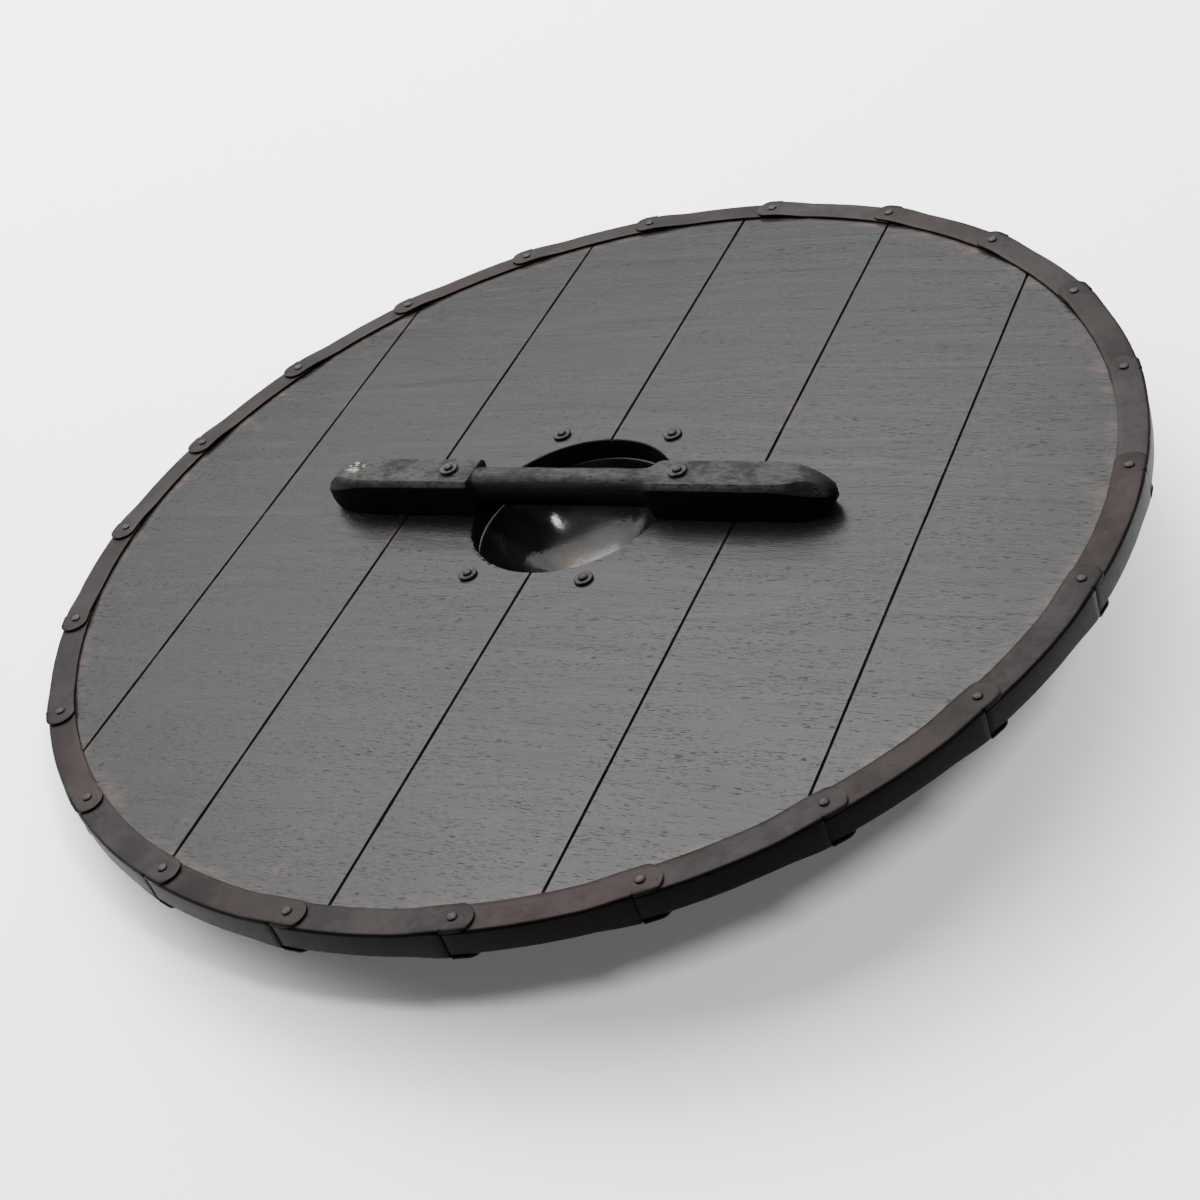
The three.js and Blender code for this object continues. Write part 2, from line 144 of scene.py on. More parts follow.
class Finish:
    """One finish of the shield, with what it takes to mix it."""

    def __init__(self, name):
        self.material = bpy.data.materials.new(name)
        self.material.use_nodes = True
        self.tree = self.material.node_tree
        self.shader = self.tree.nodes["Principled BSDF"]
        self.place = self.node("ShaderNodeTexCoord", {}, {}).outputs["Object"]

    def node(self, kind, settings, sockets):
        node = self.tree.nodes.new(kind)
        for name, value in settings.items():
            if name == "stops":
                self.set_stops(node.color_ramp, value)
            else:
                setattr(node, name, value)
        for name, value in sockets.items():
            self.feed(node.inputs[name], value)
        return node

    def set_stops(self, ramp, stops):
        while len(ramp.elements) < len(stops):
            ramp.elements.new(0.5)
        for element, (position, colour) in zip(ramp.elements, stops):
            element.position = position
            element.color = (*colour, 1)

    def feed(self, socket, value):
        if isinstance(value, Amount):
            value = value.socket
        if isinstance(value, bpy.types.NodeSocket):
            self.tree.links.new(value, socket)
        else:
            socket.default_value = value

    def sum(self, operation, a, b):
        node = self.node("ShaderNodeMath", {"operation": operation}, {0: a, 1: b})
        return Amount(self, node.outputs[0])

    def stretched(self, across, along, deep=None, shift=(0, 0, 0)):
        """The place on the shield, with cells of these sizes in millimetres."""
        deep = across if deep is None else deep
        sizes = (1 / (across * MM), 1 / (along * MM), 1 / (deep * MM))
        node = self.node(
            "ShaderNodeMapping",
            {"vector_type": "POINT"},
            {"Vector": self.place, "Scale": sizes, "Location": shift},
        )
        return node.outputs["Vector"]

    def mottle(self, where, detail=3.0, roughness=0.55, distortion=0.0):
        node = self.node(
            "ShaderNodeTexNoise",
            {"noise_dimensions": "3D"},
            {
                "Vector": where,
                "Scale": 1.0,
                "Detail": detail,
                "Roughness": roughness,
                "Distortion": distortion,
            },
        )
        return Amount(self, node.outputs[0])

    def cells(self, where, feature="F1", randomness=1.0):
        node = self.node(
            "ShaderNodeTexVoronoi",
            {"feature": feature},
            {"Vector": where, "Scale": 1.0, "Randomness": randomness},
        )
        return Amount(self, node.outputs["Distance"])

    def ease(self, value, low, high):
        node = self.node(
            "ShaderNodeMapRange",
            {"interpolation_type": "SMOOTHSTEP"},
            {"Value": value, "From Min": low, "From Max": high, "To Min": 0.0, "To Max": 1.0},
        )
        return Amount(self, node.outputs["Result"])

    def whole(self, value):
        """How far a value is from the nearest whole number."""
        return self.sum("ABSOLUTE", value - self.sum("ROUND", value, 0.0), 0.0)

    def axes(self, vector=None):
        node = self.node(
            "ShaderNodeSeparateXYZ", {}, {"Vector": self.place if vector is None else vector})
        return [Amount(self, node.outputs[i]) for i in range(3)]

    def from_centre(self):
        """Distance from the middle of the shield, in millimetres."""
        flat = self.node(
            "ShaderNodeVectorMath",
            {"operation": "MULTIPLY"},
            {0: self.place, 1: (1 / MM, 1 / MM, 0)},
        )
        node = self.node("ShaderNodeVectorMath", {"operation": "LENGTH"}, {0: flat.outputs[0]})
        return Amount(self, node.outputs["Value"])

    def near(self, point, reach):
        """1 at a point given in millimetres, falling to 0 at reach from it."""
        target = Vector(point) * MM
        node = self.node(
            "ShaderNodeVectorMath", {"operation": "DISTANCE"}, {0: self.place, 1: target})
        return 1 - self.ease(Amount(self, node.outputs["Value"]), 0.0, reach * MM)

    def lay_over(self, amount, below, above):
        """One colour over another, as thick as amount says."""
        node = self.node(
            "ShaderNodeMix",
            {"data_type": "RGBA", "clamp_factor": True},
            {0: amount, 6: self.colour(below), 7: self.colour(above)},
        )
        return node.outputs[2]

    def colour(self, value):
        return value if isinstance(value, bpy.types.NodeSocket) else (*value, 1)

    def relief(self, height, depth, below=None):
        """A surface that rises by depth millimetres where height is 1."""
        sockets = {"Height": height, "Strength": 1.0, "Distance": depth * MM}
        if below is not None:
            sockets["Normal"] = below
        return self.node("ShaderNodeBump", {}, sockets).outputs["Normal"]

    def wear(self, **sockets):
        for name, value in sockets.items():
            self.feed(self.shader.inputs[name.replace("_", " ")], value)
        return self.material


def stained_board():
    """Black stain on plywood: short fine grain along X, brown where it has worn thin."""
    f = Finish("stained_board")
    x, y, _ = f.axes()
    radius = f.from_centre()
    fibre = f.mottle(f.stretched(7, 0.75, 2), 3, 0.6)
    streak = f.mottle(f.stretched(60, 2.4, 4, (3.1, 0.4, 0)), 4, 0.6)
    figure = f.mottle(f.stretched(150, 26, 20, (0.7, 5.2, 0)), 3, 0.55, 0.6)
    cloud = f.mottle(f.stretched(90, 90, 60, (8.3, 1.9, 0)), 3, 0.5)
    pores = f.mottle(f.stretched(6, 0.5, 2, (1.3, 7.7, 0)), 2, 0.5)
    pore = f.ease(pores, 0.60, 0.70) * f.ease(streak, 0.42, 0.60)
    # the stain has rubbed thin beside the scored lines and inside the rim
    thin = f.mottle(f.stretched(30, 14, 12, (2.2, 9.1, 0)), 4, 0.62, 0.4)
    fine_thin = f.mottle(f.stretched(8, 3, 3, (5.2, 3.1, 0)), 3, 0.6)
    across = x * (math.cos(GROOVE_TURN) / (GROOVE_SPACING * MM)) + y * (
        math.sin(GROOVE_TURN) / (GROOVE_SPACING * MM))
    beside = f.whole(across) * GROOVE_SPACING
    line = (1 - f.ease(beside, 0.8, 3.6)) * f.ease(thin, 0.52, 0.66)
    ring = f.ease(radius, 281, 286.5) * f.ease(thin * 0.6 + fine_thin * 0.4, 0.44, 0.60)
    edge = f.ease(radius, 225, 292)
    patch = f.ease(thin + edge * 0.14 + f.ease(cloud, 0.45, 0.7) * 0.04, 0.66, 0.80)
    brown = patch * f.ease(streak * 0.5 + fine_thin * 0.5, 0.38, 0.60)
    dark = f.lay_over(f.ease(fibre, 0.3, 0.7), (0.0026, 0.0024, 0.0026), (0.0046, 0.0043, 0.0045))
    grey = f.lay_over(f.ease(cloud, 0.38, 0.62) * 0.6, dark, (0.0056, 0.0053, 0.0055))
    worn = f.lay_over(brown * 0.55, grey, (0.030, 0.018, 0.0145))
    rubbed = f.lay_over(ring * 0.5, worn, (0.034, 0.019, 0.014))
    lined = f.lay_over(line * 0.5, rubbed, (0.026, 0.014, 0.011))
    black = f.lay_over(pore * 0.6, lined, (0.0012, 0.0011, 0.0011))
    specks = f.cells(f.stretched(9, 9, 9, (4, 4, 4)))
    dust = (1 - f.ease(specks, 0.03, 0.075)) * f.ease(cloud, 0.5, 0.62)
    dusty = f.lay_over(dust * 0.4, black, (0.045, 0.044, 0.042))
    # inside the hand hole the edges of the plies show as dark stripes
    plies = f.mottle(f.stretched(60, 60, 1.1), 1, 0.5)
    raw = (1 - f.ease(radius, 57.2, 58.4)) * 0.8
    edges = f.lay_over(raw, dusty, (0.0030, 0.0027, 0.0025))
    rough = 0.25 + f.ease(cloud, 0.3, 0.7) * 0.05 + fibre * 0.06 + dust * 0.2 + raw * 0.4
    height = fibre * 0.55 + streak * 0.25 - pore * 0.5 + plies * raw * 0.5
    fine = f.relief(height, 0.2)
    return f.wear(Base_Color=edges, Roughness=rough, Specular_IOR_Level=0.11,
                  Normal=f.relief(figure, 0.5, fine))


def rim_steel(name, tone, warmth, shift):
    """Blackened sheet, dull and dusty, with darker handling marks and painted shade on the fold and
    the wall below it.
    """
    f = Finish(name)
    broad = f.mottle(f.stretched(40, 40, 30, shift), 4, 0.6)
    small = f.mottle(f.stretched(5, 5, 5, shift), 4, 0.65)
    pits = f.cells(f.stretched(3.2, 3.2, 3.2, shift))
    base = (0.0092 * tone * warmth, 0.0080 * tone, 0.0078 * tone)
    pale = (0.0190 * tone * warmth, 0.0166 * tone, 0.0162 * tone)
    mixed = f.lay_over(f.ease(broad * 0.6 + small * 0.4, 0.38, 0.64), base, pale)
    rust = f.ease(broad, 0.6, 0.74) * f.ease(small, 0.5, 0.7)
    browned = f.lay_over(rust * 0.45, mixed, (0.022, 0.012, 0.009))
    pit = (1 - f.ease(pits, 0.08, 0.22)) * f.ease(small, 0.45, 0.6)
    black = f.lay_over(pit * 0.55, browned, (0.002, 0.0018, 0.0017))
    # painted shade: the fold and the wall below it are darkened in colour where they face away from
    # the light
    painted_wall_shade = f.ease(f.from_centre(), 303.2, 304.3)
    shaded = f.lay_over(painted_wall_shade * 0.85, black, (0.0010, 0.0009, 0.0009))
    rough = 0.46 + small * 0.16 + broad * 0.08
    height = small * 0.5 + broad * 0.9 - pit * 0.25
    return f.wear(Base_Color=shaded, Roughness=rough, Metallic=0.75, Specular_IOR_Level=0.03,
                  Normal=f.relief(height, 0.22))


def boss_steel():
    """Blackened steel, smooth and half glossy inside, with dust and a bloom of rust."""
    f = Finish("boss_steel")
    broad = f.mottle(f.stretched(30, 30, 30, (1.7, 3.3, 0)), 4, 0.6)
    small = f.mottle(f.stretched(4, 4, 4, (6.1, 0.3, 0)), 4, 0.6)
    bottom = f.near((-16, 20, -42), 40)
    dust = f.ease(bottom + broad * 0.3, 0.35, 0.75)
    base = f.lay_over(f.ease(broad, 0.35, 0.65), (0.009, 0.0087, 0.0085), (0.014, 0.0136, 0.0132))
    dusty = f.lay_over(dust * 0.75, base, (0.030, 0.0295, 0.029))
    bloom = f.near((-21, 12, -43), 17) * f.ease(broad * 0.5 + small * 0.5, 0.38, 0.56)
    rusty = f.lay_over(bloom * 0.75, dusty, (0.040, 0.019, 0.011))
    rough = 0.08 + small * 0.06 + dust * 0.12 + bloom * 0.2
    return f.wear(Base_Color=rusty, Roughness=rough, Metallic=0.5, Specular_IOR_Level=0.2,
                  Normal=f.relief(small * 0.4 + broad, 0.25))


def hammered_steel():
    """Rivet ends and washers: dull steel, paler where the hammer met it."""
    f = Finish("hammered_steel")
    small = f.mottle(f.stretched(2.2, 2.2, 2.2), 4, 0.6)
    grit = f.mottle(f.stretched(0.7, 0.7, 0.7, (3, 1, 5)), 3, 0.6)
    base = f.lay_over(f.ease(small, 0.36, 0.64), (0.009, 0.0084, 0.0082), (0.021, 0.020, 0.0195))
    brown = f.lay_over(f.ease(grit, 0.58, 0.72) * 0.4, base, (0.030, 0.020, 0.015))
    rough = 0.40 + grit * 0.22
    return f.wear(Base_Color=brown, Roughness=rough, Metallic=0.4, Specular_IOR_Level=0.12,
                  Normal=f.relief(small * 0.8 + grit * 0.3, 0.16))


def grip_wood():
    """Carved wood, stained black, with dusty mottling on top and rubbed edges."""
    f = Finish("grip_wood")
    x, _, z = f.axes()
    fibre = f.mottle(f.stretched(26, 0.8, 0.8), 4, 0.6)
    patch = f.mottle(f.stretched(15, 11, 11, (2.4, 0.9, 0)), 5, 0.62, 0.5)
    small = f.mottle(f.stretched(3.6, 1.7, 1.7, (5.2, 1.1, 0)), 4, 0.6)
    spots = f.cells(f.stretched(6.5, 3.4, 3.4, (0.6, 0.2, 0)))
    top = f.ease(z, 24.5 * MM, 28.2 * MM)
    dark = f.lay_over(f.ease(fibre, 0.35, 0.65), (0.0028, 0.0027, 0.0026), (0.0045, 0.0043, 0.0041))
    dust = top * f.ease(patch * 0.65 + small * 0.35, 0.36, 0.62)
    dusty = f.lay_over(dust * 0.85, dark, (0.030, 0.0288, 0.0275))
    scar = (1 - f.ease(spots, 0.10, 0.30)) * f.ease(patch, 0.42, 0.6)
    scarred = f.lay_over(scar * 0.5, dusty, (0.0035, 0.0033, 0.0031))
    rub = f.ease(small + patch * 0.5, 0.72, 0.95) * top
    rubbed = f.lay_over(rub * 0.4, scarred, (0.036, 0.0345, 0.0325))
    scuff = f.near((-137, 4, 28), 9) * f.ease(small, 0.5, 0.62)
    scuffed = f.lay_over(scuff, rubbed, (0.30, 0.29, 0.275))
    ends = f.ease(x, 140 * MM, 152 * MM)
    rough = 0.50 + patch * 0.14 - ends * 0.26
    height = fibre * 0.5 + patch * 0.9 - scar * 0.6
    return f.wear(Base_Color=scuffed, Roughness=rough, Specular_IOR_Level=0.05,
                  Normal=f.relief(height, 0.35))


def pale_floor():
    """A smooth, nearly white studio floor."""
    f = Finish("pale_floor")
    return f.wear(Base_Color=(0.90, 0.905, 0.90, 1), Roughness=0.75,
                  Emission_Color=(0.93, 1.0, 0.97, 1), Emission_Strength=0.10)


# ---------------------------------------------------------------- shaping


def add_object(name, mesh, finish, lay_down=True):
    thing = bpy.data.objects.new(name, mesh)
    bpy.context.scene.collection.objects.link(thing)
    thing.data.materials.append(finish)
    if lay_down:
        thing.matrix_world = PLANE
    return thing


def mesh_from(name, points, faces, smooth=True):
    """A mesh from points in millimetres."""
    mesh = bpy.data.meshes.new(name)
    mesh.from_pydata([tuple(c * MM for c in p) for p in points], [], faces)
    mesh.validate()
    mesh.polygons.foreach_set("use_smooth", [smooth] * len(mesh.polygons))
    mesh.update()
    return mesh


def bands(rows, columns, closed, keep=None):
    """Four-sided faces between rows of points that lie one after another."""
    faces = []
    across = columns if closed else columns - 1
    for r in range(rows - 1):
        for c in range(across):
            if keep is None or keep(r, c):
                d = (c + 1) % columns
                faces.append((r * columns + c, r * columns + d,
                              (r + 1) * columns + d, (r + 1) * columns + c))
    return faces


def turned(name, profile, sides, shape=None):
    """A closed body turned about Z; the profile starts and ends on the axis."""
    points = []
    rings = []
    for radius, height in profile:
        if radius == 0:
            rings.append([len(points)])
            points.append((0, 0, height))
            continue
        ring = []
        for i in range(sides):
            a = 2 * math.pi * i / sides
            ring.append(len(points))
            points.append((radius * math.cos(a), radius * math.sin(a), height))
        rings.append(ring)
    faces = []
    for lower, upper in zip(rings, rings[1:]):
        for i in range(sides):
            j = (i + 1) % sides
            if len(lower) == 1:
                faces.append((lower[0], upper[j], upper[i]))
            elif len(upper) == 1:
                faces.append((lower[i], lower[j], upper[0]))
            else:
                faces.append((lower[i], lower[j], upper[j], upper[i]))
    if shape is not None:
        points = [shape(p) for p in points]
    return mesh_from(name, points, faces)


def apply_modifiers(thing):
    """Bakes the piece's modifiers into its mesh."""
    depsgraph = bpy.context.evaluated_depsgraph_get()
    baked = bpy.data.meshes.new_from_object(thing.evaluated_get(depsgraph))
    thing.modifiers.clear()
    thing.data = baked
    return thing


def face_out(mesh):
    """Turns every face so that it looks outwards."""
    work = bmesh.new()
    work.from_mesh(mesh)
    bmesh.ops.recalc_face_normals(work, faces=work.faces)
    work.to_mesh(mesh)
    work.free()


def finish_piece(thing, slot, *nodes):
    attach(thing, "root")
    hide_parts(*nodes)
    return thing


# ---------------------------------------------------------------- the board


def hole_cutter():
    """The hand hole's cutter, a little uneven, with its edges eased on both faces."""
    levels = [(-9, 3.4), (-HALF_BOARD, 0.5), (-5.4, 0), (-2, 0), (2, 0), (5.5, 0),
              (HALF_BOARD, 0.45), (9, 3.0)]
    sides = 200
    points = []
    for z, flare in levels:
        for i in range(sides):
            a = 2 * math.pi * i / sides
            chip = 0.0
            if z > 5:
                torn = ease(math.cos(a - math.radians(208)), 0.72, 0.98)
                chip = 1.5 * torn * max(0, wobble(i * 4.1, z, 0, 9.0, 3.0))
            radius = HOLE_RADIUS + flare + 0.25 * wobble(i, 0, z, 7.0) + chip
            points.append((radius * math.cos(a), radius * math.sin(a), z))
    faces = bands(len(levels), sides, True)
    faces.append(tuple(reversed(range(sides))))
    faces.append(tuple(range((len(levels) - 1) * sides, len(levels) * sides)))
    return mesh_from("hole_cutter", points, faces, False)


def groove_cutters():
    """Wedges for the scored lines on both faces, wandering a little in width."""
    points = []
    faces = []
    half = BOARD_RADIUS + 5
    steps = 120
    for line in range(5):
        offset = (line - 2) * GROOVE_SPACING
        for side in (1, -1):
            first = len(points)
            for k in range(steps + 1):
                v = -half + 2 * half * k / steps
                width = 0.85 + 0.18 * wobble(line * 40, v, side * 9, 25.0)
                drift = 0.16 * wobble(line * 40, v, side * 9, 120.0, 5.0)
                depth = 1.35 + 0.25 * wobble(line * 40, v, side * 9, 30.0, 9.0)
                for across, z in ((-width * 1.9, HALF_BOARD + 1.3), (-width * 0.25,
                                  HALF_BOARD - depth), (width * 0.25, HALF_BOARD - depth),
                                  (width * 1.9, HALF_BOARD + 1.3)):
                    u = offset + drift + across
                    points.append((
                        u * math.cos(GROOVE_TURN) - v * math.sin(GROOVE_TURN),
                        u * math.sin(GROOVE_TURN) + v * math.cos(GROOVE_TURN),
                        z * side))
            strip = bands(steps + 1, 4, True)
            faces.extend(tuple(first + i for i in face) for face in strip)
            faces.append(tuple(first + i for i in (3, 2, 1, 0)))
            last = first + steps * 4
            faces.append(tuple(last + i for i in (0, 1, 2, 3)))
    return mesh_from("groove_cutters", points, faces, False)


def torn_fibres():
    """A few splinters that stand at the edge of the hand hole."""
    points = []
    faces = []
    dice = np.random.default_rng(7)
    for _ in range(26):
        a = math.radians(dice.uniform(196, 250))
        length = dice.uniform(1.2, 4.2)
        width = dice.uniform(0.12, 0.32)
        x = (HOLE_RADIUS + 1.2) * math.cos(a)
        y = (HOLE_RADIUS + 1.2) * math.sin(a)
        rise = dice.uniform(0.1, 1.0)
        first = len(points)
        z = HALF_BOARD - 0.25
        points += [(x - 1.0, y - width, z), (x - 1.0, y + width, z),
                   (x - 1.0, y, z + 0.45), (x + length, y + dice.uniform(-0.6, 0.6), z + rise)]
        faces += [tuple(first + i for i in f) for f in ((0, 2, 1), (0, 1, 3), (1, 2, 3), (2, 0, 3))]
    return points, faces


def build_board(finish):
    sides = 264
    points = []
    for z in (-HALF_BOARD, HALF_BOARD):
        for i in range(sides):
            a = 2 * math.pi * i / sides
            points.append((BOARD_RADIUS * math.cos(a), BOARD_RADIUS * math.sin(a), z))
    faces = bands(2, sides, True)
    faces.append(tuple(reversed(range(sides))))
    faces.append(tuple(range(sides, 2 * sides)))
    board = add_object("plywood_board", mesh_from("plywood_board", points, faces, False), finish)
    for cutter_mesh in (hole_cutter(), groove_cutters()):
        face_out(cutter_mesh)
        cutter = add_object(cutter_mesh.name, cutter_mesh, finish)
        cut = board.modifiers.new("cut", "BOOLEAN")
        cut.operation = "DIFFERENCE"
        cut.solver = "EXACT"
        cut.object = cutter
        apply_modifiers(board)
        bpy.data.objects.remove(cutter)
    work = bmesh.new()
    work.from_mesh(board.data)
    points, faces = torn_fibres()
    corners = [work.verts.new(tuple(c * MM for c in p)) for p in points]
    for face in faces:
        work.faces.new([corners[i] for i in face])
    work.to_mesh(board.data)
    work.free()
    board.data.polygons.foreach_set("use_smooth", [False] * len(board.data.polygons))
    return finish_piece(board, "stained_board", "board")


# ---------------------------------------------------------------- the rim


def rim_point(degrees, radius, z):
    a = math.radians(degrees)
    return (radius * math.cos(a), radius * math.sin(a), z)


def along_rim(length, radius=RIVET_CIRCLE):
    return math.degrees(length / radius)


def strip_stations():
    """Angles along a strip from its own trailing rivet, and what happens there."""
    start = -along_rim(STRIP_TAIL, STRIP_RADIUS)
    lead = STRIP_PITCH - along_rim(STRIP_LEAD, STRIP_RADIUS)
    bend = lead - along_rim(RAMP_LENGTH, STRIP_RADIUS)
    stations = []
    for k in range(15):
        stations.append({"angle": start + (bend - start) * k / 14, "step": 0.0, "part": "channel"})
    # the sheet climbs softly on to the next strip, then runs out in two round-ended tabs
    for share in (0.15, 0.3, 0.5, 0.7, 0.85, 1.0):
        stations.append(
            {"angle": bend + (lead - bend) * share, "step": ease(share, 0, 1), "part": "channel"})
    for length in (-4.2, -2, 0.5, TAB_STRAIGHT):
        stations.append({"angle": STRIP_PITCH + along_rim(length), "step": 1.0, "part": "tab"})
    for k in range(1, 9):
        turn = math.pi / 2 * k / 8
        length = TAB_STRAIGHT + TAB_ROUND * math.sin(turn)
        stations.append({"angle": STRIP_PITCH + along_rim(length), "step": 1.0, "part": "tab",
                         "narrow": max(0.10, math.cos(turn))})
    return stations


def flange_line(station, count, edge):
    """Distances from the centre across one flange, from its inner edge outwards."""
    if station["part"] == "channel":
        outer = STRIP_RADIUS - STRIP_FOLD
        return [edge + (outer - edge) * k / (count - 1) for k in range(count)]
    middle = (TAB_RADIUS + edge) / 2
    half = (TAB_RADIUS - edge) / 2 * station.get("narrow", 1.0)
    return [middle + half * (2 * k / (count - 1) - 1) for k in range(count)]


def build_strip(index, finish):
    """One folded strip: a channel with rounded folds, and two tabs that lap the next one."""
    turn = FIRST_RIVET + index * STRIP_PITCH
    stations = strip_stations()
    edge = INNER_EDGE + EDGE_DRIFT * wobble(index * 5.3, 0, 0, 3.1)
    flange = 6
    fold = 4
    points = []
    for station in stations:
        face = STRIP_FACE + (TAB_FACE - STRIP_FACE) * station["step"]
        radii = flange_line(station, flange, edge)
        section = [(r, face) for r in radii]
        outer = STRIP_RADIUS + (TAB_RADIUS - STRIP_RADIUS) * station["step"]
        for k in range(1, fold + 1):
            a = math.pi / 2 * k / fold
            section.append((outer - STRIP_FOLD + STRIP_FOLD * math.sin(a),
                            face - STRIP_FOLD + STRIP_FOLD * math.cos(a)))
        section.append((outer - 0.15, 0.0))
        section += [(r, -z) for r, z in reversed(section[:-1])]
        for k, (radius, z) in enumerate(section):
            x, y, _ = rim_point(turn + station["angle"], radius, 0)
            dent = 0.22 * abs(wobble(x, y, z, 26.0, index * 0.7))
            inset = 0.18 * abs(wobble(x, y, z, 15.0, index * 1.3))
            if abs(z) > face - 0.5:
                z -= math.copysign(dent, z)
            x, y, z = rim_point(turn + station["angle"], radius - inset, z)
            points.append((x, y, z))
    columns = 2 * (flange + fold) + 1

    def keep(row, column):
        if stations[row + 1]["part"] == "channel":
            return True
        return column < flange - 1 or column >= columns - flange

    faces = bands(len(stations), columns, False, keep)
    name = f"rim_channel_{index + 1:02d}"
    mesh = mesh_from(name, points, faces)
    work = bmesh.new()
    work.from_mesh(mesh)
    loose = [v for v in work.verts if not v.link_faces]
    bmesh.ops.delete(work, geom=loose, context="VERTS")
    work.normal_update()
    top = max(work.faces, key=lambda f: f.calc_center_median().z)
    if top.normal.z < 0:
        bmesh.ops.reverse_faces(work, faces=work.faces)
    work.to_mesh(mesh)
    work.free()
    strip = add_object(name, mesh, finish)
    sheet = strip.modifiers.new("sheet", "SOLIDIFY")
    sheet.thickness = STRIP_SHEET * MM
    sheet.offset = -1
    sheet.use_even_offset = True
    bevel = strip.modifiers.new("bevel", "BEVEL")
    bevel.width = 0.22 * MM
    bevel.segments = 1
    bevel.limit_method = "ANGLE"
    bevel.angle_limit = math.radians(50)
    apply_modifiers(strip)
    return finish_piece(strip, "rim_steel", f"rim_strip_{index + 1:02d}")


def dome(radius, height, seat, steps, sign=1):
    """Profile of a low rounded head from its rim to its crown."""
    points = []
    for k in range(steps + 1):
        a = math.pi / 2 * k / steps
        points.append((radius * math.cos(a) if k < steps else 0,
                       seat + sign * height * math.sin(a) ** 0.9))
    return points


def build_rim_rivet(index, finish):
    seat = TAB_FACE + 0.3
    dice = np.random.default_rng(100 + index)
    radius = 2.6 * dice.uniform(0.94, 1.0)
    height = 0.85 * dice.uniform(0.9, 1.0)
    front = dome(radius, height, -seat, 5, -1)
    back = dome(radius, height, seat, 5)
    profile = list(reversed(front)) + [(1.5, -seat), (1.5, seat)] + back
    mesh = turned(f"rim_nail_{index + 1:02d}", profile, 20)
    place = rim_point(FIRST_RIVET + index * STRIP_PITCH, RIVET_CIRCLE, 0)
    mesh.transform(Matrix.Translation(Vector(place) * MM))
    face_out(mesh)
    rivet = add_object(mesh.name, mesh, finish)
    return finish_piece(rivet, "rivet_steel", f"rim_rivet_{index + 1:02d}")


# ---------------------------------------------------------------- the boss


def dome_arc(ball, level, steps):
    """Profile of the dome from its middle out to a level, on a ball of this radius."""
    reach = math.acos((DOME_CENTRE - level) / ball)
    arc = []
    for k in range(steps + 1):
        a = reach * k / steps
        arc.append((ball * math.sin(a), DOME_CENTRE - ball * math.cos(a)))
    arc[0] = (0, arc[0][1])
    return arc


def build_boss(finish):
    """The dome runs into its flange through a tight bend, hammered a little uneven."""
    steps = 26
    profile = dome_arc(DOME_BALL, FLANGE_FACE - 1.6, steps)
    profile += [(DOME_RADIUS + 0.5, -9.1), (DOME_RADIUS + 1.5, -8.5), (DOME_RADIUS + 3, -8.3)]
    for radius in (66, 71, 76, 80.5):
        profile.append((radius, FLANGE_FACE))
    profile += [(82.6, -8.2), (FLANGE_RADIUS - 0.1, -7.8), (FLANGE_RADIUS - 0.1, -6.8),
                (82.6, -6.4), (80.5, FLANGE_TOP)]
    for radius in (76, 71, 66, 62):
        profile.append((radius, FLANGE_TOP))
    inside = dome_arc(DOME_BALL - DOME_SHEET, FLANGE_TOP - 1.5, steps)
    mouth = inside[-1][0]
    profile += [(mouth + 3.2, -6.35), (mouth + 2.0, -6.55), (mouth + 1.0, -7.0)]
    profile += reversed(inside)

    def beaten(point):
        x, y, z = point
        if z > -12:
            return (x, y, z)
        dent = 0.28 * wobble(x, y, z, 17.0, 2.0) - 0.28
        scale = 1 + dent / DOME_BALL
        return (x * scale, y * scale, DOME_CENTRE + (z - DOME_CENTRE) * scale)

    mesh = turned("steel_boss", profile, 112, beaten)
    lean = Matrix.Rotation(-LEAN, 4, "Y") @ Matrix.Rotation(TURN, 4, "Z")
    back = lean.inverted()
    rest = (DOME_BALL - 0.9) * MM
    for vertex in mesh.vertices:
        centre = Vector((0, 0, DOME_CENTRE * MM))
        level = lean @ (vertex.co - centre)
        if level.z < -rest:
            level.z = -rest
            vertex.co = back @ level + centre
    face_out(mesh)
    boss = add_object("steel_boss", mesh, finish)
    return finish_piece(boss, "boss_steel", "boss")


def long_rivet_mesh(name, washer_base, place, seed):
    """A rivet with a round front head and a hammered end over its washer."""
    seat = washer_base + 0.3 + 1.5 + 0.3
    front = dome(4.6, 2.3, -8.6, 6, -1)
    peen = dome(2.65, 1.25, seat - 0.2, 5)
    profile = list(reversed(front)) + [(2.0, -8.6), (2.0, seat - 0.2)] + peen

    def hammered(point):
        x, y, z = point
        if z > washer_base:
            z -= 0.16 * abs(wobble(x, y, 0, 2.4, seed))
            x *= 1 + 0.05 * wobble(x, y, z, 3.0, seed + 4)
        return (x, y, z)

    mesh = turned(name, profile, 28, hammered)
    mesh.transform(Matrix.Translation(Vector(place) * MM))
    face_out(mesh)
    return mesh


def washer_mesh(name, base, place, seed):
    """A dished ring: a low bead round its outside and a hollow round the rivet."""
    low = base + 0.3
    profile = [(2.3, low), (5.0, low), (5.3, low + 0.35), (5.25, low + 0.9), (4.85, low + 1.3),
               (4.35, low + 1.48), (3.8, low + 1.35), (3.2, low + 1.12), (2.7, low + 1.2),
               (2.3, low + 1.1)]
    sides = 36
    points = []
    for radius, z in profile:
        for i in range(sides):
            a = 2 * math.pi * i / sides
            x, y = radius * math.cos(a), radius * math.sin(a)
            drop = 0.14 * abs(wobble(x, y, 0, 4.0, seed))
            points.append((x, y, z - drop if z > low + 0.5 else z))
    faces = bands(len(profile), sides, True)
    faces += [((len(profile) - 1) * sides + i, (len(profile) - 1) * sides + (i + 1) % sides,
               (i + 1) % sides, i) for i in range(sides)]
    mesh = mesh_from(name, points, faces)
    mesh.transform(Matrix.Translation(Vector(place) * MM))
    face_out(mesh)
    return mesh


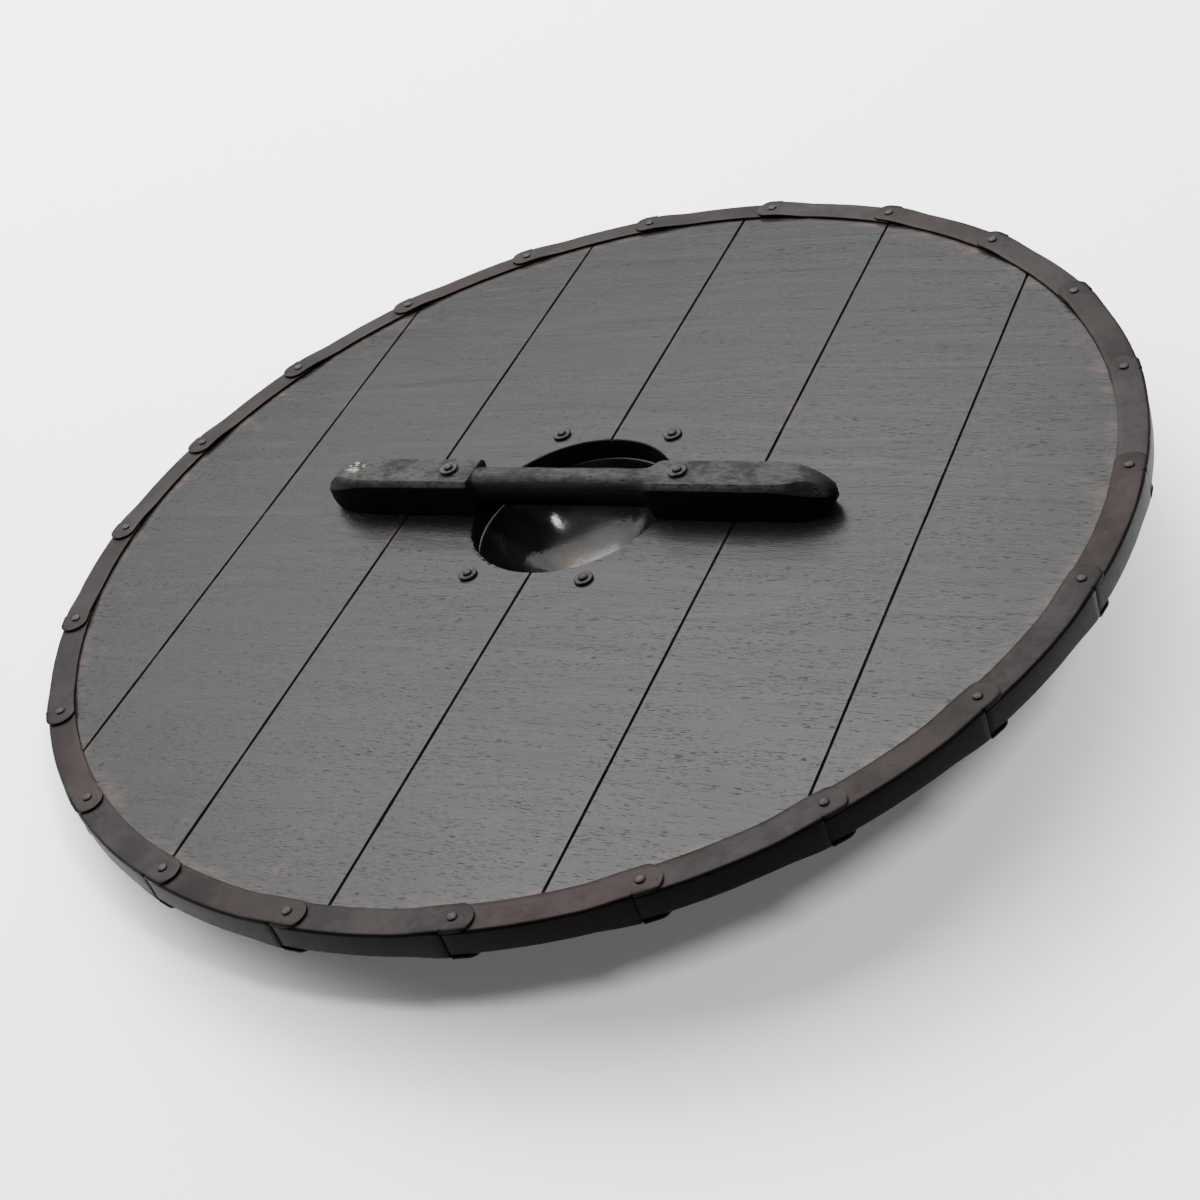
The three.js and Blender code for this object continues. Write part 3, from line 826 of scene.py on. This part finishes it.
def build_boss_and_grip_rivets(finish):
    for index, angle in enumerate((60, 120, 240, 300)):
        place = rim_point(angle, BOSS_RIVET_CIRCLE, 0)
        rivet = long_rivet_mesh(f"flange_rivet_{index + 1}", HALF_BOARD, place, index + 1.5)
        washer = washer_mesh(f"flange_washer_{index + 1}", HALF_BOARD, place, index + 7.5)
        finish_piece(add_object(rivet.name, rivet, finish), "rivet_steel",
                     f"boss_rivet_{index + 1}")
        finish_piece(add_object(washer.name, washer, finish), "rivet_steel",
                     f"boss_washer_{index + 1}")
    for index, angle in enumerate((0, 180)):
        place = rim_point(angle, BOSS_RIVET_CIRCLE, 0)
        rivet = long_rivet_mesh(f"handle_rivet_{index + 1}", GRIP_TOP, place, index + 11.5)
        washer = washer_mesh(f"handle_washer_{index + 1}", GRIP_TOP, place, index + 17.5)
        finish_piece(add_object(rivet.name, rivet, finish), "rivet_steel",
                     f"grip_rivet_{index + 1}")
        finish_piece(add_object(washer.name, washer, finish), "rivet_steel",
                     f"grip_washer_{index + 1}")


# ---------------------------------------------------------------- the grip

# From the round middle to the tip: distance from the centre, half width, half width of the
# flat top, and heights of the top, of the side's upper edge and of the underside
BLOCK = [
    (54.0, 12.8, 10.0, 22.1, 19.4, 0.0),
    (90.0, 12.8, 10.0, 22.1, 19.3, 0.0),
    (127.0, 12.8, 9.9, 22.1, 19.1, 0.0),
    (136.0, 12.4, 8.5, 22.0, 17.7, 0.0),
    (143.0, 11.1, 5.4, 21.4, 15.7, 0.1),
    (150.0, 8.7, 3.3, 18.3, 13.3, 0.7),
    (155.0, 5.5, 2.1, 14.3, 11.7, 3.7),
    (156.8, 2.4, 1.0, 12.0, 10.8, 7.2),
]


def block_sizes(distance):
    """The block's section at a distance from the middle, eased between the stations."""
    for a, b in zip(BLOCK, BLOCK[1:]):
        if distance <= b[0]:
            t = (distance - a[0]) / (b[0] - a[0])
            return [p + (q - p) * t for p, q in zip(a[1:], b[1:])]
    return list(BLOCK[-1][1:])


def block_outline(half, flat, top, side, under):
    """Points round a section, with the same number along each edge at every station."""
    corners = [(half, under), (half, side), (flat, top), (-flat, top), (-half, side),
               (-half, under)]
    counts = [7, 4, 9, 4, 7, 9]
    outline = []
    for k, count in enumerate(counts):
        (y0, z0), (y1, z1) = corners[k], corners[(k + 1) % 6]
        for i in range(count):
            t = i / count
            outline.append((y0 + (y1 - y0) * t, GRIP_BASE + z0 + (z1 - z0) * t))
    return outline


def grip_stations():
    """Distances along the grip, with how round the section is there."""
    stations = [(x, 0.0) for x in (-156.8, -156.0, -155, -153, -150.5, -147.5, -144, -140.5,
                                   -137, -133, -129, -124)]
    stations += [(x, 0.0) for x in np.linspace(-118, -62, 12)]
    stations += [(-57.5, 0.0), (-55.6, 0.0), (-55.1, 1.0)]
    stations += [(x, 1.0) for x in np.linspace(-51, 46, 20)]
    stations += [(49.5, 0.97), (51.6, 0.82), (53.4, 0.5), (55.2, 0.2), (57.4, 0.05)]
    stations += [(x, 0.0) for x in np.linspace(60, 118, 12)]
    stations += [(x, 0.0) for x in (124, 129, 133, 137, 140.5, 144, 147.5, 150.5, 153, 155,
                                    156.0, 156.8)]
    return stations


def build_grip(finish):
    points = []
    stations = grip_stations()
    middle = GRIP_TOP - 0.3 - 10.5
    for x, roundness in stations:
        outline = block_outline(*block_sizes(max(54.0, abs(x))))
        for y, z in outline:
            away = math.hypot(y, z - middle)
            ry, rz = y * 10.45 / away, middle + (z - middle) * 10.45 / away
            py = y + (ry - y) * roundness
            pz = z + (rz - z) * roundness
            cut = 0.22 * wobble(x, py, pz, 13.0, 1.0) - 0.2
            shave = 0.16 * wobble(x * 0.25, py, pz, 3.0, 6.0) - 0.1
            size = math.hypot(py, pz - middle)
            grow = 1 + (cut + shave) / max(size, 4)
            pz = max(GRIP_BASE, middle + (pz - middle) * grow)
            points.append((x, py * grow, pz))
    columns = 40
    faces = bands(len(stations), columns, True)
    faces.append(tuple(reversed(range(columns))))
    faces.append(tuple(range((len(stations) - 1) * columns, len(stations) * columns)))
    mesh = mesh_from("carved_grip", points, faces)
    face_out(mesh)
    grip = add_object("carved_grip", mesh, finish)
    bevel = grip.modifiers.new("worn_edges", "BEVEL")
    bevel.width = 0.7 * MM
    bevel.segments = 3
    bevel.limit_method = "ANGLE"
    bevel.angle_limit = math.radians(28)
    apply_modifiers(grip)
    grip.data.polygons.foreach_set("use_smooth", [True] * len(grip.data.polygons))
    return finish_piece(grip, "grip_wood", "grip")


# ---------------------------------------------------------------- the studio


def build_floor():
    half = 6.0
    mesh = bpy.data.meshes.new("floor")
    mesh.from_pydata([(-half, -half, 0), (half, -half, 0), (half, half, 0), (-half, half, 0)],
                     [], [(0, 1, 2, 3)])
    floor = add_object("floor", mesh, pale_floor(), False)


def hang_light(name, shape, centre, width, length, turn, radiance, toward=None):
    """An area light placed in the shield's plane, in metres; it faces straight down on the
    board unless it is aimed at a point."""
    light = bpy.data.lights.new(name, "AREA")
    light.shape = shape
    light.size = width
    light.size_y = length
    area = width * length * (math.pi / 4 if shape == "ELLIPSE" else 1)
    light.energy = radiance * math.pi * area
    lamp = bpy.data.objects.new(name, light)
    bpy.context.scene.collection.objects.link(lamp)
    place = Matrix.Translation(centre) @ Matrix.Rotation(math.radians(turn), 4, "Z")
    if toward is not None:
        aim = (Vector(centre) - Vector(toward)).to_track_quat("Z", "Y").to_matrix().to_4x4()
        place = Matrix.Translation(centre) @ aim
    lamp.matrix_world = PLANE @ place
    return lamp


def light_studio():
    """A wide ceiling behind the shield, a panel above its near half and a small window."""
    world = bpy.data.worlds.new("studio")
    bpy.context.scene.world = world
    world.use_nodes = True
    surround = world.node_tree.nodes["Background"]
    surround.inputs["Color"].default_value = (1, 1, 1, 1)
    surround.inputs["Strength"].default_value = 0.07
    height = 2.0
    hang_light("white_ceiling", "ELLIPSE", (-0.646 * height, 0.827 * height, height),
               width=3.6 * height, length=2.4 * height, turn=45, radiance=6.0)
    hang_light("bright_panel", "RECTANGLE", (-0.78, 0.98, 1.86),
               width=1.5, length=1.15, turn=0, radiance=15, toward=(0, 0, 0))
    hang_light("side_window", "RECTANGLE", (1.50, -0.46, 1.81),
               width=0.24, length=0.52, turn=0, radiance=90, toward=(0, 0, 0))


def set_camera():
    """The camera's axes and place, from the rim's upper face with the grooves along Y."""
    data = bpy.data.cameras.new("camera")
    data.sensor_fit = "HORIZONTAL"
    data.sensor_width = 36.0
    data.lens = 60.68
    camera = bpy.data.objects.new("camera", data)
    bpy.context.scene.collection.objects.link(camera)
    right = Vector((0.8804, 0.3690, -0.2979))
    up = Vector((-0.0191, 0.6553, 0.7551))
    ahead = Vector((-0.4739, 0.6591, -0.5840))
    place = Vector((0.53288, -0.75036, 0.59414))
    view = Matrix.Identity(4)
    for row in range(3):
        view[row][0] = right[row]
        view[row][1] = up[row]
        view[row][2] = -ahead[row]
        view[row][3] = place[row]
    view = Matrix.Translation((0, 0, STRIP_FACE * MM)) @ Matrix.Rotation(GROOVE_TURN, 4, "Z") @ view
    camera.matrix_world = PLANE @ view
    bpy.context.scene.camera = camera


set_camera()
light_studio()
build_floor()

board_finish = stained_board()
rim_finishes = [
    rim_steel("rim_steel_a", 1.0, 1.0, (0, 0, 0)),
    rim_steel("rim_steel_b", 0.86, 1.06, (3.1, 1.2, 0)),
    rim_steel("rim_steel_c", 1.12, 0.98, (5.7, 8.4, 0)),
    rim_steel("rim_steel_d", 0.95, 1.12, (9.9, 2.6, 0)),
]
rivet_finish = hammered_steel()

build_board(board_finish)
for number in range(STRIP_COUNT):
    build_strip(number, rim_finishes[(number * 7) % 4])
    build_rim_rivet(number, rivet_finish)
build_boss(boss_steel())
build_grip(grip_wood())
build_boss_and_grip_rivets(rivet_finish)
